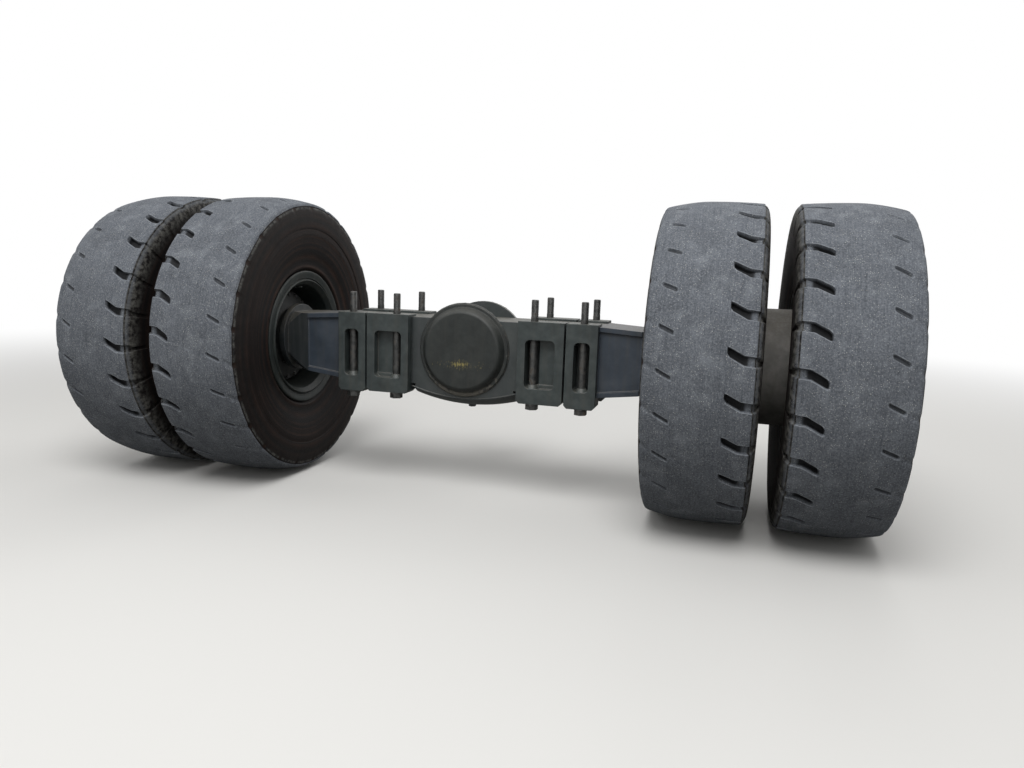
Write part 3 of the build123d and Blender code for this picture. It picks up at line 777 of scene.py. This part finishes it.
class DRIVE_AXLE_OT_hubs(bpy.types.Operator):
    """Models the planet covers and wheel clamps, and paints the hubs and spacer bands"""

    bl_idname = "drive_axle.hubs"
    bl_label = "Hubs"

    def execute(self, context):
        paint = context.scene.axle_paint
        dust = paint.dust_colour
        dress([f"{side}_hub" for side, _ in SIDES],
              painted_casting("dull dark paint on iron drums", paint.drum_colour, dust,
                              0.55, 0.02, 110))
        # The spacer band's paint is lifted paler: painted light in the gap between the twins
        dress([f"{side}_spacer_band" for side, _ in SIDES],
              painted_casting("dusty paint on rolled band lifted as painted light", paint.spacer_colour, dust,
                              0.6, 0.04, 80))
        ends = painted_casting("grey green paint on cast covers", paint.column_colour, dust,
                               0.42, 0.04, 70)
        iron = plain_steel("cast iron under dust", "#6a6762", "#3c3a38", "#62564a", 0.35, 0.6)
        for side, sign in SIDES:
            # The cover has a bolted flange, a dished face, a boss with a filler plug, a level plug
            bm = bmesh.new()
            join(bm, turned([
                (0, 0), (0, 232), (8, 232), (8, 207), (12, 204), (31, 172), (34, 164), (34, 92),
                (30, 84), (28, 52), (36, 48), (40, 44), (40, 0)],
                [(2, 2), (3, 2), (5, 4), (7, 5), (9, 3), (11, 2)], closed=False))
            for place in ring_places(16, 219, 8, start=0.1):
                bolt(bm, place, 24, 9, washer=(15, 2.5))
            bolt(bm, shift(40, 0, 0) @ about("Y", pi / 2), 36, 12)
            bolt(bm, shift(33, 0, -128) @ about("Y", pi / 2), 27, 9, washer=(20, 3))
            bm.transform(at_side(sign, HUB_END, sign > 0))
            finish_piece("bolted", bm, f"{side}_wheels", ends, f"{side}_planet_cover")

            # A cleat is a wedge whose outer face lies in the rim's mouth
            bm = bmesh.new()
            for turn, place in zip(ring_places(12, 0, 0, start=pi / 12),
                                   ring_places(12, 266, 20, start=pi / 12)):
                cleat = bmesh.new()
                half_width = 31 * MM
                corners = [(0, 242), (0, 306.8), (20, 323.7), (20, 290), (16, 242)]
                face = cleat.faces.new([
                    cleat.verts.new((x * MM, -half_width, r * MM)) for x, r in corners])
                grown = bmesh.ops.extrude_face_region(cleat, geom=[face])["geom"]
                grown = [part for part in grown if isinstance(part, bmesh.types.BMVert)]
                bmesh.ops.translate(cleat, verts=grown, vec=(0, 2 * half_width, 0))
                bmesh.ops.recalc_face_normals(cleat, faces=cleat.faces[:])
                bevel(cleat, cleat.edges[:], 3, 2)
                join(bm, cleat, turn @ about("Y", -pi / 2))
                bolt(bm, place, 36, 14, washer=(22, 3), stud=(11, 12))
            bm.transform(at_side(sign, HUB_END, sign > 0))
            finish_piece("forged", bm, f"{side}_wheels", iron, f"{side}_wheel_clamps")
        return {"FINISHED"}


class DRIVE_AXLE_OT_brakes(bpy.types.Operator):
    """Models the fixed brake housings with their ribs and bolts"""

    bl_idname = "drive_axle.brakes"
    bl_label = "Brake housings"

    def execute(self, context):
        paint = context.scene.axle_paint
        iron = painted_casting("dark paint on cast brake housings", paint.drum_colour,
                               paint.dust_colour, 0.6, 0.02, 90, dusty=0.3)
        bm = bmesh.new()
        for _, sign in SIDES:
            part = bmesh.new()
            join(part, turned([
                (1100, 106), (1100, 172), (1112, 172), (1116, 166), (1142, 166), (1150, 176),
                (1166, 244), (1172, 250), (1172, 261.6), (1190, 261.6), (1190, 256), (1204, 256),
                (1204, 261.6), (1239.5, 261.6), (1239.5, 106)],
                [(1, 2), (2, 2), (5, 6), (6, 6), (8, 3), (9, 2), (12, 2), (13, 3)]))
            for place in ring_places(20, 243, 1170, start=0.05, facing=-1):
                bolt(part, place, 22, 12)
            for place in ring_places(2, 166, 1129, start=0.6):
                bolt(part, place @ about("Y", -pi / 2), 22, 14)
            join(bm, part, at_side(sign, 0, sign > 0))
        finish_piece("bolted", bm, "axle", iron, "brake_housings")
        return {"FINISHED"}


# Beam, columns and bolts, in millimetres. The bowl's faces are its front and rear flats.
BOWL_FACE = 156
ARM_ROOT = 723
BOLT_DEPTH = 170
# The wide and the narrow column's bolts: how far across, and the height of the foot's underside
COLUMN_BOLTS = ((385, -254), (645, -261))


class DRIVE_AXLE_OT_housing(bpy.types.Operator):
    """Paints the beam and its bowl, and adds weld beads, plugs, the cover and the bolted carrier"""

    bl_idname = "drive_axle.housing"
    bl_label = "Housing"

    def execute(self, context):
        paint = context.scene.axle_paint
        beam = painted_casting("grey alkyd paint on welded steel", paint.beam_colour,
                               paint.dust_colour, 0.42, 0.0, 170, middle=paint.bowl_colour)
        dress(["axle_housing"], beam)
        # Along the arms' top and bottom plates, up their ends and roots, and up the bowl's sides:
        # (from and to as across and height), the depth of the face, the bead's radius, and a seed
        beads = [
            ((ARM_ROOT, 138), (934, 125), 151, 5, 0),
            ((ARM_ROOT, -175), (934, -149), 151, 5, 1),
            ((936, -148), (936, 124), 150, 4.5, 2),
            ((ARM_ROOT, -172), (ARM_ROOT, 136), 150, 4, 4),
            ((297, -196), (297, 160), 150, 4, 5),
        ]
        bm = bmesh.new()
        for _, sign in SIDES:
            for face in (-1, 1):
                for *ends, depth, radius, seed in beads:
                    route = [(sign * across, face * depth, height) for across, height in ends]
                    weld_bead(bm, route, radius, sign + 3 * face + seed)
        # Along the bowl's round lower edge
        for face in (-1, 1):
            weld_bead(bm, [(x, face * BOWL_FACE, 671 - sqrt(933 ** 2 - x ** 2))
                           for x in range(-294, 295, 14)], 5, face)
        bolt(bm, shift(0, 0, -314) @ about("X", pi), 36, 12, washer=(26, 3))
        bolt(bm, shift(820, 150, 20) @ about("X", -pi / 2), 30, 10, washer=(22, 3))
        bm.transform(LOWERED)
        finish_piece("beam_welds", bm, "axle", beam)

        # The round cover is welded on all round its ring
        old_paint = painted_casting(
            "old dark paint on cast steel", paint.cover_colour, srgb("#55524b"), 0.5, 0.05, 60,
            dusty=0.65, marks=(0.0, -0.2, -0.07))
        bm = turned([
            (0, 0), (0, 246), (14, 246), (14, 230), (16, 228), (44, 213), (54, 202), (54, 60),
            (53, 52), (53, 0)], [(2, 3), (3, 1), (5, 6), (6, 7)], steps=112, closed=False)
        weld_bead(bm, [(1, 247 * cos(2 * pi * i / 72), 247 * sin(2 * pi * i / 72))
                       for i in range(73)], 5, 9)
        bm.transform(LOWERED @ shift(0, -BOWL_FACE, 0) @ about("Z", -pi / 2))
        finish_piece("welded", bm, "axle", old_paint, "differential_cover")

        bm = softened("differential_carrier", 4)
        part = bmesh.new()
        for place in ring_places(18, 232, 26, start=pi / 18):
            bolt(part, place, 24, 13, washer=(17, 3))
        join(bm, part, LOWERED @ shift(0, BOWL_FACE, 0) @ about("Z", pi / 2))
        finish_piece("bolted", bm, "axle", beam, "differential_carrier")
        dress(["drive_flange"], plain_steel(
            "machined steel under oil", "#83817c", "#6b6965", "#5d4a3a", 0.2, 0.38, 110))
        return {"FINISHED"}


class DRIVE_AXLE_OT_columns(bpy.types.Operator):
    """Models the clamp columns with rounded edges and the ledges inside their windows"""

    bl_idname = "drive_axle.columns"
    bl_label = "Clamp columns"

    def execute(self, context):
        paint = context.scene.axle_paint
        steel = painted_casting("grey green paint on cast columns", paint.column_colour,
                                paint.dust_colour, 0.42, 0.02, 60, dusty=0.75)
        for side, sign in SIDES:
            for row, face in (("front", -1), ("rear", 1)):
                for width, (across, _) in zip(("wide", "narrow"), COLUMN_BOLTS):
                    node = f"{width}_column_{row}_{side}"
                    bolt_line = (sign * across, face * BOLT_DEPTH)
                    bm = softened(node, 5, [bolt_line])
                    part = bmesh.new()
                    # A cast boss round the bolt on the window's sill
                    boss = turned([(-174, 19.6), (-174, 33), (-168, 31), (-158, 25), (-153, 21),
                                   (-153, 19.6)], steps=28)
                    join(part, boss, shift(*bolt_line, 0) @ about("Y", -pi / 2))
                    if width == "wide":
                        # A panel beside the bolt, 46 mm behind the face, and the ledge it stands on
                        for inner, front, top in ((413.5, 157, 84), (402, 166, -153)):
                            low_x, high_x = sorted((sign * inner, sign * 507.5))
                            low_y, high_y = sorted((face * 92, face * front))
                            slab(part, (low_x, low_y, -177), (high_x, high_y, top), 3)
                    join(bm, part, LOWERED)
                    finish_piece("rounded", bm, "axle", steel, node, smooth=40)
        return {"FINISHED"}


class DRIVE_AXLE_OT_clamp_bolts(bpy.types.Operator):
    """Models the long clamp bolts with their threads, washers and heads"""

    bl_idname = "drive_axle.clamp_bolts"
    bl_label = "Clamp bolts"

    def execute(self, context):
        steel = plain_steel("forged bolt steel", "#6a6a69", "#454645", "#4f4840", 0.27, 0.5)
        threads = [point for i in range(21) for point in ((196 + 4 * i, 19.4), (198 + 4 * i, 17.9))]
        for side, sign in SIDES:
            bm = bmesh.new()
            for across, bottom in COLUMN_BOLTS:
                shank = [(bottom - 1, 0), (bottom - 1, 19.4), (190, 19.4), *threads,
                         (281, 19.0), (285, 15.5), (285, 0)]
                for depth in (-BOLT_DEPTH, BOLT_DEPTH):
                    place = shift(sign * across, depth, 0)
                    join(bm, turned(shank, steps=28, closed=False), place @ about("Y", -pi / 2))
                    bolt(bm, place @ shift(0, 0, bottom) @ about("X", pi), 60, 25, washer=(34, 6))
            bm.transform(LOWERED)
            finish_piece("threaded", bm, "axle", steel, f"clamp_bolts_{side}")
        return {"FINISHED"}


class DRIVE_AXLE_OT_stage(bpy.types.Operator):
    """Sets the floor, soft lamps and the camera of the photographed view"""

    bl_idname = "drive_axle.stage"
    bl_label = "Stage"

    def execute(self, context):
        scene = context.scene
        stage = scene.axle_stage
        half_floor, under_tyres = 60, 0.0005
        bm = bmesh.new()
        bmesh.ops.create_grid(bm, x_segments=1, y_segments=1, size=half_floor,
                              matrix=Matrix.Translation((0, 0, cad_box[0].z - under_tyres)))
        mesh = bpy.data.meshes.new("floor")
        bm.to_mesh(mesh)
        bm.free()
        mesh.materials.append(self.pale_floor(stage))
        floor = bpy.data.objects.new("floor", mesh)
        scene.collection.objects.link(floor)

        # Soft lamps: a broad one above the front, and weaker ones from the left and behind
        for name, place, aim, power in (
            ("broad lamp", (0.8, -4.6, 6.4), (0, 0, -0.3), 420),
            ("side lamp", (-6.0, -2.5, 4.0), (-0.5, 0, -0.3), 60),
            ("rear lamp", (2.0, 6.0, 4.5), (0, 0, -0.3), 130),
        ):
            light = bpy.data.lights.new(name, "AREA")
            light.shape = "DISK"
            light.size = 5.0
            light.energy = power
            lamp = bpy.data.objects.new(name, light)
            scene.collection.objects.link(lamp)
            lamp.location = place
            lamp.rotation_mode = "QUATERNION"
            lamp.rotation_quaternion = (Vector(aim) - Vector(place)).to_track_quat("-Z", "Y")

        # An even sky lights the object weakly, and is white where it is seen
        world = bpy.data.worlds.new("even sky")
        scene.world = world
        world.use_nodes = True
        tree = world.node_tree
        tree.nodes.clear()
        rays = add(tree, "LightPath").node.outputs
        seen = add(tree, "Math", {0: rays["Is Camera Ray"], 1: rays["Is Glossy Ray"]},
                   operation="ADD")
        seen = add(tree, "Math", {0: seen, 1: rays["Is Transmission Ray"]}, operation="ADD",
                   use_clamp=True)
        level = add(tree, "MapRange", {"Value": seen, "To Min": 0.45})
        sky = add(tree, "Background", {"Color": (1, 1, 1), "Strength": level})
        add(tree, "OutputWorld", {"Surface": sky})

        camera = bpy.data.objects.new("camera", bpy.data.cameras.new("camera"))
        scene.collection.objects.link(camera)
        camera.data.lens = stage.lens
        camera.data.sensor_width = 36
        camera.data.clip_end = 200
        yaw, pitch, roll = radians(-16.058), radians(-9.027), radians(1.892)
        forward = Vector((sin(yaw) * cos(pitch), cos(yaw) * cos(pitch), sin(pitch)))
        level_right = Vector((cos(yaw), -sin(yaw), 0))
        level_up = level_right.cross(forward)
        right = cos(roll) * level_right + sin(roll) * level_up
        up = cos(roll) * level_up - sin(roll) * level_right
        turned_to_view = Matrix((right, up, -forward)).transposed().to_4x4()
        camera.matrix_world = Matrix.Translation((1.376, -3.996, 0.298)) @ turned_to_view
        scene.camera = camera
        scene.view_settings.view_transform = "Standard"
        return {"FINISHED"}

    def pale_floor(self, stage):
        """A matt sheet that takes shadows, and that fades into the white background far away."""
        material, tree, place = start_material("matt pale floor sheet")
        seen = add(tree, "LightPath", output="Is Camera Ray")
        colour = coats(tree, stage.bounce_colour, [(stage.floor_colour, seen)])
        sheet = add(tree, "BsdfDiffuse", {"Color": colour})
        distance = add(tree, "VectorMath", {0: place}, operation="LENGTH")
        far = add(tree, "MapRange", {"Value": distance, **levels(3.5, 11)},
                  interpolation_type="SMOOTHSTEP")
        far = add(tree, "Math", {0: far, 1: seen}, operation="MULTIPLY")
        white = add(tree, "Emission", {"Color": (1, 1, 1), "Strength": 1})
        mixed = add(tree, "MixShader", {0: far, 1: sheet, 2: white})
        add(tree, "OutputMaterial", {"Surface": mixed})
        return material


class DRIVE_AXLE_PT_panel(bpy.types.Panel):
    """Lists the axle's pieces and their settings"""

    bl_label = "Drive Axle"
    bl_space_type = "VIEW_3D"
    bl_region_type = "UI"
    bl_category = "Drive Axle"

    def draw(self, context):
        for operator in OPERATORS:
            self.layout.operator(operator.bl_idname)
        for name, settings in SETTINGS.items():
            box = self.layout.box()
            for setting in settings.__annotations__:
                box.prop(getattr(context.scene, name), setting)


SETTINGS = {"axle_tyres": TyreSettings, "axle_paint": PaintSettings, "axle_stage": StageSettings}
OPERATORS = (
    DRIVE_AXLE_OT_stage,
    DRIVE_AXLE_OT_housing,
    DRIVE_AXLE_OT_columns,
    DRIVE_AXLE_OT_clamp_bolts,
    DRIVE_AXLE_OT_brakes,
    DRIVE_AXLE_OT_hubs,
    DRIVE_AXLE_OT_rims,
    DRIVE_AXLE_OT_tyres,
)


def register():
    for name, group in SETTINGS.items():
        bpy.utils.register_class(group)
        setattr(bpy.types.Scene, name, bpy.props.PointerProperty(type=group))
    for operator in OPERATORS:
        bpy.utils.register_class(operator)
    bpy.utils.register_class(DRIVE_AXLE_PT_panel)


def unregister():
    bpy.utils.unregister_class(DRIVE_AXLE_PT_panel)
    for operator in reversed(OPERATORS):
        bpy.utils.unregister_class(operator)
    for name, group in SETTINGS.items():
        delattr(bpy.types.Scene, name)
        bpy.utils.unregister_class(group)


def main():
    register()
    bpy.ops.drive_axle.stage()
    bpy.ops.drive_axle.housing()
    bpy.ops.drive_axle.columns()
    bpy.ops.drive_axle.clamp_bolts()
    bpy.ops.drive_axle.brakes()
    bpy.ops.drive_axle.hubs()
    bpy.ops.drive_axle.rims()
    bpy.ops.drive_axle.tyres()


if __name__ == "__main__":
    main()
